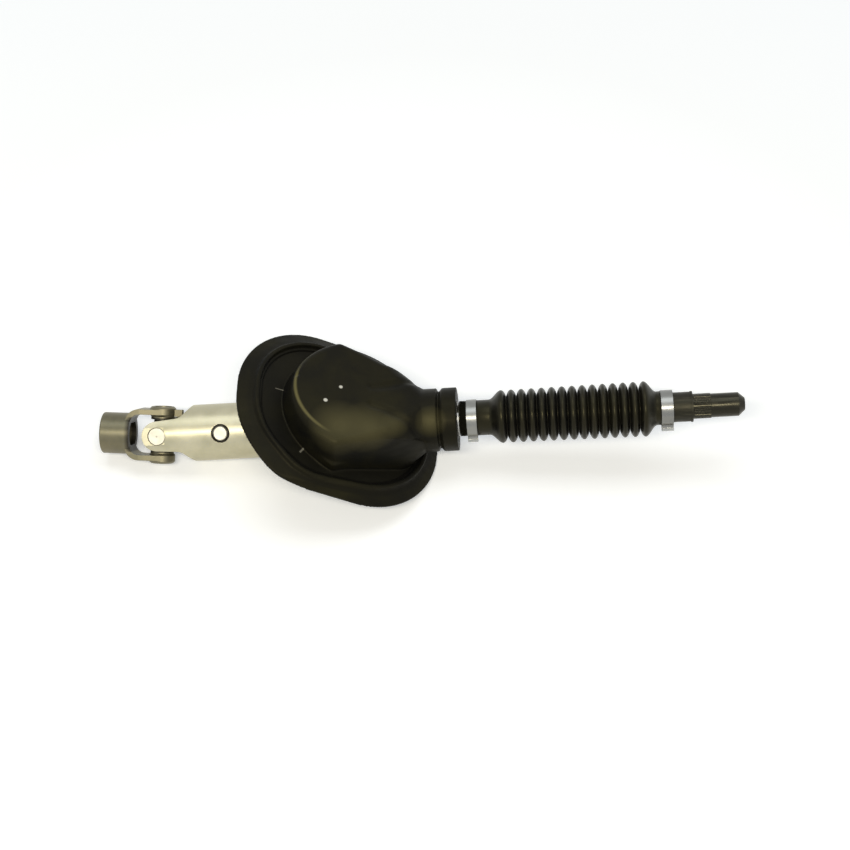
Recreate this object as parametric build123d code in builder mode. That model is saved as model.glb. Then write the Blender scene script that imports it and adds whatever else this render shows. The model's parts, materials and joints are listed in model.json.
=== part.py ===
from build123d import *
import os
from math import atan, cos, degrees, radians, sin

# An intermediate steering shaft, from the column's yoke at -X to the gear's coupling at +X.
# Stations are distances along the shaft from the centre of its universal joint, in millimetres.

# Fits
press_gap = 0.02
running_gap = 0.05
free_gap = 0.3

# How the joint stands: the lean of its trunnions about the shaft, and its bend at rest
trunnion_lean = 40.0
joint_bend = 5.2

# Needle cups, needles and cross
cup_radius = 7.5
cup_wall = 1.0
cup_floor = 1.2
cup_mouth = 12.8
cup_edge = 0.6
needle_radius = 0.95
needle_count = 16
needle_length = 7.2
spider_hub = 7.4
spider_shoulder = 10.4
trunnion_bevel = 0.6

# Upper yoke
socket_radius = 17.25
socket_face = -50.0
socket_bore = 12.0
socket_edge = 1.2
fork_web = -29.7
fork_sheet = 4.4
fork_reach = 21.4
fork_corner = 12.0
fork_width = 24.0
ear_radius = 11.0
ear_reach = 23.75
ear_wall = 2.2
ear_bevel = 1.6
ear_collar = 13.2
cross_cup_face = 23.0
lug_length = 6.0
lug_height = 5.7
lug_width = 6.0

# Tube yoke
tube_radius = 23.5
tube_wall = 3.2
tube_end = 118.0
arm_shoulder = 28.4
arm_half_width = 12.5
arm_sheet = 4.6
arm_reach = 22.4
arm_root = 37.0
arm_neck = 19.0
arm_neck_half = 14.0
shoulder_radius = 10.5
arm_collar = 13.6
arm_cup_face = 21.9

# Isolator and its safety pin
pin_station = 53.7
pin_radius = 5.8
pin_hole_radius = 7.8
pin_stand = 0.3
pin_bevel = 0.6
isolator_start = 66.0
isolator_length = 46.0
outer_sleeve_wall = 1.6
inner_sleeve_wall = 1.5
sleeve_stand = 1.0
rubber_wall = 6.16
rubber_hollow = 4.0

# Shaft bar and slider tube
bar_relief = 1.5
bar_start = 42.0
bar_step = 120.0
bar_bevel = 1.0
slider_radius = 12.7
slider_start = 198.0
slider_end = 345.0
slider_plug = 16.0

# Lower shaft and its splines
spline_root = 8.0
spline_tip = 9.3
spline_teeth = 8
spline_width = 3.0
sleeve_wall = 0.9
spline_start = 292.0
spline_length = 76.0
lower_waist = 8.6
waist_cone = 2.0
land_lead = 4.0
shaft_radius = 9.85
serration_radius = 10.3
serration_inset = 0.8
serration_length = 13.8
serration_count = 36
serration_depth = 0.40
tip_chamfer = 5.2
shaft_tip = 484.0
tip_radius = 5.2

# Lower bush
bush_start = 407.0
bush_face = 426.0
bush_end = 441.7
bush_radius = 12.25
bush_seat = 11.9
bush_rim = 0.5
bush_rim_width = 1.6

# Bellows
bellows_wall = 1.0
left_cuff_start = 251.0
left_cone_start = 275.0
first_crest = 285.6
last_crest = 402.6
crest_count = 15
left_crest_radius = 21.85
right_crest_radius = 22.8
root_radius = 15.6
crest_flat = 2.0
root_flat = 1.3
right_cone_end = 412.6
right_cuff_end = 425.6
cuff_wall = 1.9

# Ear clamps
band_thickness = 0.8
left_clamp_station = 256.6
left_clamp_width = 8.3
right_clamp_station = 415.8
right_clamp_width = 9.8
clamp_ear_height = 4.4
clamp_ear_width = 5.6
clamp_ear_angle = 125.0

# Bulkhead seal: the flange's slope, reach and lip, and the hood, neck and collar
seal_slope = 34.0
seal_station = 159.4
flange_low = 81.2
flange_high = 103.3
flange_half_width = 77.3
low_flat = 1.0
high_flat = 5.3
lip_thickness = 2.4
brim_rise = 5.0
brim_width = 12.0
ridge_height = 3.4
ridge_width = 5.0
ridge_draft = 1.0
step_width = 2.2
step_height = 1.6
flange_skin = 3.0
hood_inset = 5.3
hood_centre = -10.0
hood_back = 90.0
hood_crown = 67.5
hood_wide_half = 77.0
hood_depth = 50.0
hood_corner = 5.0
hood_skin = 3.0
hood_edge = 6.0
neck_radius = 26.2
neck_corner_share = 0.97
neck_station = 221.0
neck_end = 232.4
neck_inside = 209.0
groove_station = 233.8
groove_radius = 22.4
collar_radius = 26.3
collar_station = 235.6
collar_end = 249.0
collar_chamfer = 1.6
seal_bush_wall = 3.6
seal_bush_rim = 1.6
seal_bush_rim_width = 1.8
ring_thickness = 1.0
ring_height = 2.6
ring_groove = 0.7
ring_mouth = 8.0

# The shaft lies on its lower ear and on the seal's lower lip, so those two set the slope of its axis.
ear_drop = ear_reach * sin(radians(trunnion_lean)) + ear_radius * cos(radians(trunnion_lean))
lip_station = seal_station + flange_low * cos(radians(seal_slope))
lip_drop = flange_low * sin(radians(seal_slope))
rest_slope = degrees(atan((lip_drop - ear_drop) / lip_station))
joint_height = ear_drop * cos(radians(rest_slope))

shaft_frame = Location((0, 0, joint_height), (0, -rest_slope, 0))
cross_frame = shaft_frame * Location((0, 0, 0), (trunnion_lean, 0, 0))
upper_frame = cross_frame * Location((0, 0, 0), (0, 0, -joint_bend))
seal_frame = shaft_frame * Location((seal_station, 0, 0), (0, seal_slope, 0))

# Cuts and hidden roots run this far past the faces that they cross
over = 1.0


def on(frame, plane):
    """A plane carried along by a frame."""
    return Plane(frame * plane.location)


lengthwise = on(shaft_frame, Plane.XZ)
shaft_axis = shaft_frame.x_axis


def across(station):
    """The plane square to the shaft at a station, facing the gear end."""
    return on(shaft_frame, Plane(origin=(station, 0, 0), x_dir=(0, 1, 0), z_dir=(1, 0, 0)))


def turned(outline):
    """A solid of revolution about the shaft, from an outline of stations and radii."""
    with BuildPart() as solid:
        with BuildSketch(lengthwise):
            with BuildLine():
                Polyline(*outline, close=True)
            make_face()
        revolve(axis=shaft_axis)
    return solid.part


def hollow(start, end, inner, outer):
    """A plain sleeve about the shaft."""
    return turned([(start, inner), (end, inner), (end, outer), (start, outer)])


def profile_across(shape, start, length, frame=shaft_frame):
    """A flat shape pushed along the shaft from a station."""
    with BuildPart() as solid:
        with BuildSketch(on(frame, Plane(origin=(start, 0, 0), x_dir=(0, 1, 0), z_dir=(1, 0, 0)))):
            add(shape)
        extrude(amount=length)
    return solid.part


def square_ended(left, right, half, corner):
    """A flat shape with rounded corners at its left end only."""
    with BuildSketch() as shape:
        with Locations(((left + right) / 2, 0)):
            body = Rectangle(right - left, 2 * half)
        fillet(body.vertices().group_by(Axis.X)[0], corner)
    return shape.sketch


def arm_frames(frame, across_shaft):
    """The two outward trunnion directions of one yoke, each with +Z pointing out along its arm."""
    if across_shaft:
        return [frame, frame * Location((0, 0, 0), (180, 0, 0))]
    return [frame * Location((0, 0, 0), (-90, 0, 0)), frame * Location((0, 0, 0), (90, 0, 0))]


upper_arms = arm_frames(upper_frame, False)
tube_arms = arm_frames(upper_frame, True)

# Upper yoke: a side profile and a plan profile cross to give the fork, which carries socket and ears.
with BuildPart() as upper_yoke:
    with BuildSketch(on(upper_frame, Plane.XY)):
        add(square_ended(fork_web, ear_radius, fork_reach, fork_corner))
        inner_half = fork_reach - fork_sheet
        inner_corner = fork_corner - fork_sheet
        add(square_ended(fork_web + fork_sheet, 2 * ear_radius, inner_half, inner_corner), mode=Mode.SUBTRACT)
    extrude(amount=fork_width, both=True)
    with BuildSketch(on(upper_frame, Plane.XZ)):
        Circle(ear_radius)
        with BuildLine():
            Polyline(
                (fork_web - over, fork_width / 2),
                (fork_web + fork_corner, fork_width / 2),
                (0, ear_radius),
                (0, -ear_radius),
                (fork_web + fork_corner, -fork_width / 2),
                (fork_web - over, -fork_width / 2),
                close=True,
            )
        make_face()
    extrude(amount=2 * fork_reach, both=True, mode=Mode.INTERSECT)
    with BuildSketch(on(upper_frame, Plane.YZ.offset(socket_face))):
        Circle(socket_radius)
    extrude(amount=fork_web + fork_sheet - socket_face)
    fillet(upper_yoke.edges().filter_by(GeomType.CIRCLE).sort_by(Axis.X)[0], socket_edge)
    for arm in upper_arms:
        with BuildSketch(on(arm, Plane.XZ)):
            with BuildLine():
                Polyline(
                    (0, ear_collar),
                    (cup_radius + ear_wall, ear_collar),
                    (cup_radius + ear_wall, fork_reach - fork_sheet - ear_bevel),
                    (ear_radius, fork_reach - fork_sheet),
                    (ear_radius, ear_reach - ear_bevel),
                    (ear_radius - ear_bevel, ear_reach),
                    (0, ear_reach),
                    close=True,
                )
            make_face()
        revolve(axis=arm.z_axis)
    with BuildSketch(on(upper_frame, Plane.YZ.offset(ear_radius - over))):
        with Locations((fork_reach - lug_height / 2, 0)):
            Rectangle(lug_height, lug_width)
    extrude(amount=lug_length + over)
    with BuildSketch(on(upper_frame, Plane.XZ)):
        Circle(cup_radius + press_gap)
    extrude(amount=2 * ear_reach, both=True, mode=Mode.SUBTRACT)
    with BuildSketch(on(upper_frame, Plane.YZ.offset(socket_face))):
        Circle(socket_bore)
    extrude(amount=fork_web + fork_sheet - socket_face, mode=Mode.SUBTRACT)
upper_yoke.part.label = "upper_yoke"

# Cross: a hub with four trunnions, which run on the needles
trunnion_radius = cup_radius - cup_wall - 2 * needle_radius - 2 * running_gap
needle_ring = trunnion_radius + running_gap + needle_radius

with BuildPart() as cross_spider:
    for arms, face in ((upper_arms, cross_cup_face), (tube_arms, arm_cup_face)):
        for arm in arms:
            with BuildSketch(on(arm, Plane.XY)):
                Circle(spider_hub)
            extrude(amount=spider_shoulder)
            with BuildSketch(on(arm, Plane.XY)):
                Circle(trunnion_radius)
            extrude(amount=face - cup_floor - 2 * running_gap)
            tip = cross_spider.faces().sort_by(Axis((0, 0, 0), arm.z_axis.direction))[-1]
            chamfer(tip.edges(), trunnion_bevel)
cross_spider.part.label = "cross_spider"

with BuildPart() as trunnion_seals:
    for arm in upper_arms + tube_arms:
        with BuildSketch(on(arm, Plane.XY.offset(spider_shoulder + running_gap))):
            Circle(cup_radius - free_gap)
            Circle(trunnion_radius + running_gap, mode=Mode.SUBTRACT)
        extrude(amount=cup_mouth - free_gap - spider_shoulder - running_gap)
trunnion_seals.part.label = "trunnion_seals"


def drawn_cups(arms, face):
    """Two thin cups with their mouths towards the cross."""
    with BuildPart() as cups:
        for arm in arms:
            with BuildSketch(on(arm, Plane.XZ)):
                with BuildLine():
                    Polyline(
                        (0, face - cup_floor),
                        (0, face),
                        (cup_radius - cup_edge, face),
                        (cup_radius, face - cup_edge),
                        (cup_radius, cup_mouth),
                        (cup_radius - cup_wall, cup_mouth),
                        (cup_radius - cup_wall, face - cup_floor),
                        close=True,
                    )
                make_face()
            revolve(axis=arm.z_axis)
    return cups.part


def needle_rows(arms, face):
    """The loose rollers round the two trunnions of one yoke."""
    with BuildPart() as needles:
        for arm in arms:
            with BuildSketch(on(arm, Plane.XY.offset(face - cup_floor - running_gap - needle_length))):
                with PolarLocations(needle_ring, needle_count):
                    Circle(needle_radius)
            extrude(amount=needle_length)
    return needles.part


upper_cups = drawn_cups(upper_arms, cross_cup_face)
upper_cups.label = "upper_cups"
upper_needles = needle_rows(upper_arms, cross_cup_face)
upper_needles.label = "upper_needles"
tube_cups = drawn_cups(tube_arms, arm_cup_face)
tube_cups.label = "tube_cups"
tube_needles = needle_rows(tube_arms, arm_cup_face)
tube_needles.label = "tube_needles"

# Tube yoke: a tube and two flat arms, trimmed by one outline seen along the trunnions
tube_bore = tube_radius - tube_wall

with BuildPart() as tube_yoke:
    with BuildSketch(across(arm_neck - arm_half_width)):
        Circle(tube_radius)
        Circle(tube_bore, mode=Mode.SUBTRACT)
    extrude(amount=tube_end - arm_neck + arm_half_width)
    for arm in arm_frames(cross_frame, True):
        with BuildSketch(on(arm, Plane.XY.offset(arm_collar))):
            Circle(cup_radius + ear_wall)
        extrude(amount=arm_reach - arm_sheet - arm_collar)
        with BuildSketch(on(arm, Plane.XY.offset(arm_reach - arm_sheet))):
            with Locations(((arm_root - arm_half_width) / 2, 0)):
                Rectangle(arm_root + arm_half_width, 2 * arm_neck_half)
        extrude(amount=arm_sheet)
    with BuildSketch(on(cross_frame, Plane.XY)):
        Circle(arm_half_width)
        with BuildLine():
            Polyline(
                (0, arm_half_width),
                (arm_neck, arm_neck_half),
                (arm_shoulder, tube_radius),
                (tube_end + over, tube_radius),
                (tube_end + over, -tube_radius),
                (arm_shoulder, -tube_radius),
                (arm_neck, -arm_neck_half),
                (0, -arm_half_width),
                close=True,
            )
        outline = make_face()
        necks = [v for v in outline.vertices() if abs(v.X - arm_neck) < 0.01]
        fillet(necks, shoulder_radius)
    extrude(amount=2 * tube_radius, both=True, mode=Mode.INTERSECT)
    with BuildSketch(across(-2 * arm_half_width)):
        Circle(tube_radius)
    extrude(amount=tube_end + 3 * arm_half_width, mode=Mode.INTERSECT)
    with BuildSketch(on(cross_frame, Plane.XY)):
        Circle(cup_radius + press_gap)
        with Locations((pin_station, 0)):
            Circle(pin_hole_radius)
    extrude(amount=2 * tube_radius, both=True, mode=Mode.SUBTRACT)
tube_yoke.part.label = "tube_yoke"

# Isolator: a rubber bush between two sleeves, with hollowed ends
outer_sleeve_radius = tube_bore - press_gap
outer_sleeve_bore = outer_sleeve_radius - outer_sleeve_wall
inner_sleeve_radius = outer_sleeve_bore - rubber_wall
inner_sleeve_bore = inner_sleeve_radius - inner_sleeve_wall
bar_radius = inner_sleeve_bore - press_gap
isolator_end = isolator_start + isolator_length
rubber_middle = (inner_sleeve_radius + outer_sleeve_bore) / 2

isolator_outer_sleeve = hollow(isolator_start, isolator_end, outer_sleeve_bore, outer_sleeve_radius)
isolator_outer_sleeve.label = "isolator_outer_sleeve"

isolator_rubber = turned(
    [
        (isolator_start, inner_sleeve_radius + press_gap),
        (isolator_end, inner_sleeve_radius + press_gap),
        (isolator_end - rubber_hollow, rubber_middle),
        (isolator_end, outer_sleeve_bore - running_gap),
        (isolator_start, outer_sleeve_bore - running_gap),
        (isolator_start + rubber_hollow, rubber_middle),
    ]
)
isolator_rubber.label = "isolator_rubber"

inner_sleeve_start = isolator_start - sleeve_stand
inner_sleeve_end = isolator_end + sleeve_stand
isolator_inner_sleeve = hollow(inner_sleeve_start, inner_sleeve_end, inner_sleeve_bore, inner_sleeve_radius)
isolator_inner_sleeve.label = "isolator_inner_sleeve"

with BuildPart() as safety_pin:
    with BuildSketch(on(cross_frame, Plane.XY.offset(-tube_radius - pin_stand))):
        with Locations((pin_station, 0)):
            Circle(pin_radius)
    extrude(amount=2 * (tube_radius + pin_stand))
    chamfer(safety_pin.edges().filter_by(GeomType.CIRCLE), pin_bevel)
safety_pin.part.label = "safety_pin"


def spline_shape(growth):
    """The section of the sliding splines, grown on every side."""
    with BuildSketch() as shape:
        Circle(spline_root + growth)
        tooth_foot = spline_root - over
        tooth_tip = spline_tip + growth
        with PolarLocations((tooth_foot + tooth_tip) / 2, spline_teeth):
            Rectangle(tooth_tip - tooth_foot, spline_width + 2 * growth)
    return shape.sketch


# Shaft bar: thick in the isolator, waisted through the seal, and spigoted into the slider tube
bar_waist = bar_radius - bar_relief
bar_spigot = spline_root + sleeve_wall + running_gap - press_gap

with BuildPart() as shaft_bar:
    add(
        turned(
            [
                (bar_start, 0),
                (bar_start, bar_radius - bar_bevel),
                (bar_start + bar_bevel, bar_radius),
                (bar_step, bar_radius),
                (bar_step + bar_radius - bar_waist, bar_waist),
                (slider_start, bar_waist),
                (slider_start, bar_spigot),
                (slider_start + slider_plug, bar_spigot),
                (slider_start + slider_plug, 0),
            ]
        )
    )
    with BuildSketch(on(cross_frame, Plane.XY)):
        with Locations((pin_station, 0)):
            Circle(pin_radius + press_gap)
    extrude(amount=2 * bar_radius, both=True, mode=Mode.SUBTRACT)
shaft_bar.part.label = "shaft_bar"

ring_stations = (neck_inside - seal_bush_rim_width - free_gap - ring_thickness, collar_end + free_gap)

with BuildPart() as slider_tube:
    with BuildSketch(across(slider_start)):
        Circle(slider_radius)
        add(spline_shape(sleeve_wall + running_gap), mode=Mode.SUBTRACT)
    extrude(amount=slider_end - slider_start)
    for station in ring_stations:
        add(
            hollow(station, station + ring_thickness, slider_radius - ring_groove, slider_radius + over),
            mode=Mode.SUBTRACT,
        )
slider_tube.part.label = "slider_tube"

with BuildPart() as bearing_rings:
    for station in ring_stations:
        with BuildSketch(across(station + press_gap)):
            Circle(slider_radius - ring_groove + ring_height)
            Circle(slider_radius - ring_groove + press_gap, mode=Mode.SUBTRACT)
            with Locations((0, slider_radius)):
                Rectangle(ring_mouth, 2 * ring_height, mode=Mode.SUBTRACT)
        extrude(amount=ring_thickness - 2 * press_gap)
bearing_rings.part.label = "bearing_rings"

spline_sleeve_shape = spline_shape(sleeve_wall) - spline_shape(press_gap)
spline_sleeve = profile_across(spline_sleeve_shape, spline_start, spline_length)
spline_sleeve.label = "spline_sleeve"

# Lower shaft: splines at one end, and at the other a land for the bush, serrations and a chamfered nose
spline_end = spline_start + spline_length
land_start = bush_start - land_lead
serration_start = bush_end + serration_inset
serration_end = serration_start + serration_length
tip_chamfer_start = shaft_tip - tip_chamfer
serration_side = serration_depth * 2**0.5

with BuildPart() as lower_shaft:
    with BuildSketch(across(spline_start)):
        add(spline_shape(0))
    extrude(amount=spline_length)
    add(
        turned(
            [
                (spline_end - over, 0),
                (spline_end - over, spline_root),
                (spline_end, spline_root),
                (spline_end + waist_cone, lower_waist),
                (land_start - waist_cone, lower_waist),
                (land_start, serration_radius),
                (serration_start, serration_radius),
                (serration_start, shaft_radius),
                (tip_chamfer_start, shaft_radius),
                (shaft_tip, tip_radius),
                (shaft_tip, 0),
            ]
        )
    )
    with BuildSketch(across(serration_start)):
        Circle(serration_radius)
        with PolarLocations(serration_radius, serration_count):
            Rectangle(serration_side, serration_side, rotation=45, mode=Mode.SUBTRACT)
    extrude(amount=serration_end - serration_start)
lower_shaft.part.label = "lower_shaft"

lower_bush = turned(
    [
        (bush_start, serration_radius + press_gap),
        (bush_end, serration_radius + press_gap),
        (bush_end, bush_radius + bush_rim),
        (bush_end - bush_rim_width, bush_radius + bush_rim),
        (bush_end - bush_rim_width, bush_radius),
        (bush_face, bush_radius),
        (bush_face, bush_seat),
        (bush_start, bush_seat),
    ]
)
lower_bush.label = "lower_bush"

# Bellows: cuffs, cones and convolutions in one outline, walked out along the outside and back inside
pitch = (last_crest - first_crest) / (crest_count - 1)
left_cuff_bore = slider_radius + press_gap
left_cuff_radius = left_cuff_bore + cuff_wall
right_cuff_bore = bush_seat + running_gap
right_cuff_radius = right_cuff_bore + cuff_wall


def bellows_line(skin, left_radius, right_radius):
    """The bellows' outline from cuff to cuff, at a depth below its outer skin."""
    points = [(left_cuff_start, left_radius), (left_cone_start, left_radius)]
    for index in range(crest_count):
        share = index / (crest_count - 1)
        crest_radius = left_crest_radius + share * (right_crest_radius - left_crest_radius)
        flank_lean = (pitch - crest_flat - root_flat) / 2 / (crest_radius - root_radius)
        flank_shift = skin * (1 + flank_lean**2) ** 0.5
        crest_half = crest_flat / 2 + skin * flank_lean - flank_shift
        root_half = root_flat / 2 - skin * flank_lean + flank_shift
        crest = first_crest + index * pitch
        points.append((crest - crest_half, crest_radius - skin))
        points.append((crest + crest_half, crest_radius - skin))
        if index < crest_count - 1:
            points.append((crest + pitch / 2 - root_half, root_radius - skin))
            points.append((crest + pitch / 2 + root_half, root_radius - skin))
    points.append((right_cone_end, right_radius))
    points.append((right_cuff_end, right_radius))
    return points


bellows_outside = bellows_line(0, left_cuff_radius, right_cuff_radius)
bellows_inside = bellows_line(bellows_wall, left_cuff_bore, right_cuff_bore)
bellows = turned(bellows_outside + bellows_inside[::-1])
bellows.label = "bellows"


def ear_clamp(start, width, bore):
    """A flat band with a pinched ear, closed round a cuff."""
    band_outside = bore + band_thickness
    ear_foot = band_outside - band_thickness / 2
    ear_top = band_outside + clamp_ear_height
    half = clamp_ear_width / 2
    ear_frame = shaft_frame * Location((start, 0, 0), (clamp_ear_angle, 0, 0))
    with BuildPart() as clamp:
        with BuildSketch(on(ear_frame, Plane(origin=(0, 0, 0), x_dir=(0, 1, 0), z_dir=(1, 0, 0)))):
            Circle(band_outside)
            with BuildLine():
                Polyline(
                    (-half, ear_foot),
                    (-half + band_thickness, (ear_foot + ear_top) / 2),
                    (-half, ear_top),
                    (half, ear_top),
                    (half - band_thickness, (ear_foot + ear_top) / 2),
                    (half, ear_foot),
                    close=True,
                )
            make_face()
            Circle(bore, mode=Mode.SUBTRACT)
            with BuildLine():
                Polyline(
                    (-half + band_thickness, bore - band_thickness),
                    (-half + 2 * band_thickness, (ear_foot + ear_top) / 2),
                    (-half + band_thickness, ear_top - band_thickness),
                    (half - band_thickness, ear_top - band_thickness),
                    (half - 2 * band_thickness, (ear_foot + ear_top) / 2),
                    (half - band_thickness, bore - band_thickness),
                    close=True,
                )
            make_face(mode=Mode.SUBTRACT)
        extrude(amount=width)
    return clamp.part


left_clamp = ear_clamp(left_clamp_station, left_clamp_width, left_cuff_radius + press_gap)
left_clamp.label = "left_clamp"
right_clamp = ear_clamp(right_clamp_station, right_clamp_width, right_cuff_radius + running_gap)
right_clamp.label = "right_clamp"

# Bulkhead seal: a brim swept round the flange's outline, a floor, and a hollow hood lofted to the neck


low_corner = flange_half_width - low_flat
high_corner = flange_half_width - high_flat
hood_radius = flange_half_width - brim_width - ridge_width - hood_inset


def flange_outline(inset):
    """The flange's outline in its own plane, drawn in by an even distance."""
    low = flange_low - inset
    high = inset - flange_high
    half = flange_half_width - inset
    low_round = low_corner - inset
    high_round = high_corner - inset
    with BuildLine() as outline:
        Line((high, half - high_round), (high, high_round - half))
        CenterArc((high + high_round, high_round - half), high_round, 180, 90)
        Line((high + high_round, -half), (low - low_round, -half))
        CenterArc((low - low_round, low_round - half), low_round, 270, 90)
        Line((low, low_round - half), (low, half - low_round))
        CenterArc((low - low_round, half - low_round), low_round, 0, 90)
        Line((low - low_round, half), (high + high_round, half))
        CenterArc((high + high_round, half - high_round), high_round, 90, 90)
    return outline.wire()


def hood_section(station, skin):
    """The hood's section at a station: a wide arch at the flange, all but round at the neck."""
    share = (station - hood_back) / (neck_station - hood_back)
    half = hood_wide_half + share * (neck_radius - hood_wide_half) - skin
    crown = hood_crown + share * (neck_radius - hood_crown) - skin
    foot = -hood_depth + share * (hood_depth - neck_radius) + skin
    corner = hood_corner + share**6 * (neck_corner_share * neck_radius - hood_corner) - skin / 2
    with BuildSketch(across(station)) as section:
        with Locations((0, (crown + foot) / 2)):
            RectangleRounded(2 * half, crown - foot, corner)
    return section.sketch


def hood_form(skin, end_station, base):
    """The hood's solid form, less a skin, from a base level up."""
    with BuildPart() as roof:
        add(hood_section(hood_back, skin))
        add(hood_section((hood_back + neck_station) / 2, skin))
        add(hood_section((hood_back + 4 * neck_station) / 5, skin))
        add(hood_section(end_station, skin))
        loft()
    with BuildPart() as form:
        with BuildSketch(on(seal_frame, Plane.XY.offset(base))):
            with Locations((hood_centre, 0)):
                Circle(hood_radius - skin)
            with Locations((hood_centre + flange_high / 2, 0)):
                Rectangle(flange_high, 2 * (hood_radius - skin))
        extrude(amount=hood_crown)
        add(roof.part, mode=Mode.INTERSECT)
        wall = form.faces().filter_by(GeomType.CYLINDER)[0]
        fillet(wall.edges().filter_by(GeomType.CIRCLE, reverse=True), hood_edge - skin)
    return form.part


brim_top = brim_rise + lip_thickness
floor_top = brim_top - step_height
floor_edge = brim_width + ridge_width + 2 * step_width
neck_bore = slider_radius + running_gap + seal_bush_wall + press_gap

with BuildPart() as dash_seal:
    with BuildSketch(on(seal_frame, Plane(origin=(-flange_high, 0, 0), x_dir=(1, 0, 0), z_dir=(0, -1, 0)))):
        with BuildLine():
            Polyline(
                (0, 0),
                (0, lip_thickness),
                (brim_width, brim_top),
                (brim_width + ridge_draft, brim_top + ridge_height),
                (brim_width + ridge_width - ridge_draft, brim_top + ridge_height),
                (brim_width + ridge_width, brim_top),
                (brim_width + ridge_width + step_width, brim_top),
                (brim_width + ridge_width + step_width, floor_top),
                (floor_edge, floor_top),
                (floor_edge, floor_top - flange_skin),
                (brim_width + step_width, floor_top - flange_skin),
                (brim_width, brim_rise),
                close=True,
            )
        make_face()
    sweep(path=seal_frame * flange_outline(0))
    with BuildSketch(on(seal_frame, Plane.XY.offset(floor_top - flange_skin))):
        add(flange_outline(floor_edge - step_width / 2))
        make_face()
    extrude(amount=flange_skin)
    add(hood_form(0, neck_station, floor_top - flange_skin))
    add(
        turned(
            [
                (neck_inside, 0),
                (neck_inside, neck_radius - hood_skin),
                (neck_station, neck_radius),
                (neck_end, neck_radius),
                (groove_station, groove_radius),
                (collar_station, collar_radius - collar_chamfer),
                (collar_station + collar_chamfer, collar_radius),
                (collar_end, collar_radius),
                (collar_end, 0),
            ]
        )
    )
    add(hood_form(hood_skin, neck_inside, floor_top - 2 * flange_skin), mode=Mode.SUBTRACT)
    add(hollow(neck_inside - over, collar_end, 0, neck_bore), mode=Mode.SUBTRACT)
dash_seal.part.label = "dash_seal"

seal_bearing = turned(
    [
        (neck_inside - seal_bush_rim_width, slider_radius + running_gap),
        (collar_end, slider_radius + running_gap),
        (collar_end, neck_bore - press_gap),
        (neck_inside, neck_bore - press_gap),
        (neck_inside, neck_bore + seal_bush_rim),
        (neck_inside - seal_bush_rim_width, neck_bore + seal_bush_rim),
    ]
)
seal_bearing.label = "seal_bearing"

pieces = [
    upper_yoke.part,
    cross_spider.part,
    trunnion_seals.part,
    upper_cups,
    upper_needles,
    tube_cups,
    tube_needles,
    tube_yoke.part,
    isolator_outer_sleeve,
    isolator_rubber,
    isolator_inner_sleeve,
    safety_pin.part,
    shaft_bar.part,
    slider_tube.part,
    bearing_rings.part,
    spline_sleeve,
    lower_shaft.part,
    lower_bush,
    bellows,
    left_clamp,
    right_clamp,
    dash_seal.part,
    seal_bearing,
]
os.makedirs("parts", exist_ok=True)
for piece in pieces:
    export_step(piece, f"parts/{piece.label}.step")
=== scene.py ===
import json
import math

import bmesh
import bpy
import numpy
from mathutils import Matrix, Vector


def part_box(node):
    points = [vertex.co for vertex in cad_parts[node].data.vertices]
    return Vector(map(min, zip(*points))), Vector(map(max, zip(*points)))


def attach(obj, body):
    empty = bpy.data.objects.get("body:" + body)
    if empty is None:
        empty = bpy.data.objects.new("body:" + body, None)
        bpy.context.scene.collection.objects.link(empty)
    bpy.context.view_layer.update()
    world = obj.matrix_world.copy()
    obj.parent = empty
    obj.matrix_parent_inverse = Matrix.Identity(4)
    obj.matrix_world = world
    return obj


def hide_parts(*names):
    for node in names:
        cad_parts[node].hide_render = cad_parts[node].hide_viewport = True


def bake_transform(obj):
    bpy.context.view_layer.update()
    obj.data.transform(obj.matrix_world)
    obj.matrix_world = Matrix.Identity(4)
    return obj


bl_info = {
    "name": "Intermediate Steering Shaft Looks",
    "version": (1, 0, 0),
    "blender": (4, 5, 0),
    "location": "View3D > Sidebar > Steering Shaft",
    "description": "Finishes, moulded rubber, bellows and a studio stage for the framed steering shaft",
    "category": "Object",
}

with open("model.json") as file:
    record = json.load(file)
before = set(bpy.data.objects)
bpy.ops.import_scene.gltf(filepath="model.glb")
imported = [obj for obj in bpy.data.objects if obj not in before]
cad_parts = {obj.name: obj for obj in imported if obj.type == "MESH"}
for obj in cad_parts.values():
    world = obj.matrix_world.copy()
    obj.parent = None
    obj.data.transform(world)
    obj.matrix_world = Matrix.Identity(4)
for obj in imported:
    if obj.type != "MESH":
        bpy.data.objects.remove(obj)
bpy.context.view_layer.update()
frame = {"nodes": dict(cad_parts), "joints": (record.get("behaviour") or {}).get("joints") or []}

MM = 0.001
JOINTS = {joint["name"]: joint for joint in frame["joints"]}
JOINT_CENTRE = Vector(JOINTS["shaft_turn"]["pos_m"])
SHAFT_LINE = Vector(JOINTS["shaft_turn"]["axis"]).normalized()
SIDE_LINE = Vector((0.0, 1.0, 0.0))
UP_LINE = SHAFT_LINE.cross(SIDE_LINE).normalized()
ARM_LINE = Vector(JOINTS["tube_trunnion"]["axis"]).normalized()
FORK_LINE = Vector(JOINTS["upper_trunnion"]["axis"]).normalized()


# Placing things along the shaft


def axes_matrix(origin, x_line, y_line, z_line):
    """A matrix that carries a shape's own axes onto these lines."""
    columns = (x_line, y_line, z_line)
    turn = Matrix([[column[row] for column in columns] for row in range(3)]).to_4x4()
    return Matrix.Translation(origin) @ turn


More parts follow.
